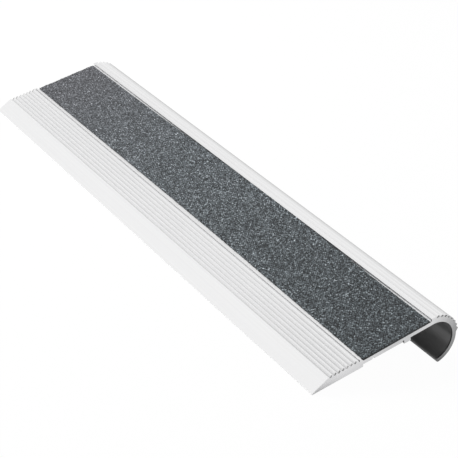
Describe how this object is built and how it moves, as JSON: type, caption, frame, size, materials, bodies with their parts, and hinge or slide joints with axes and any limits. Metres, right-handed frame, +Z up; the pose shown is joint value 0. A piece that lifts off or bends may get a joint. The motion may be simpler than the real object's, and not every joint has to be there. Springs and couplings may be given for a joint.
{
  "type": "stair nosing",
  "caption": "Extruded aluminium stair nosing with a ribbed ramped back, a wide abrasive grit insert and a fluted half-round nose that hooks over a tread.",
  "frame": {"origin": "middle of the bottom face of the bounding box of the bar as it rests on a level floor", "axes": "+X along the bar, +Y from the thin back edge to the nose, +Z up from the floor"},
  "size_m": [0.4235, 0.1052, 0.0338],
  "materials": {
    "mill_aluminium": "satin extruded aluminium, with fine die lines along its length and saw-cut ends",
    "abrasive_grit": "coarse dark grey mineral grit bound in resin, with pale glinting grains"
  },
  "bodies": {
    "root": {"nosing_profile": "mill_aluminium", "grit_insert": "abrasive_grit"}
  },
  "joints": []
}
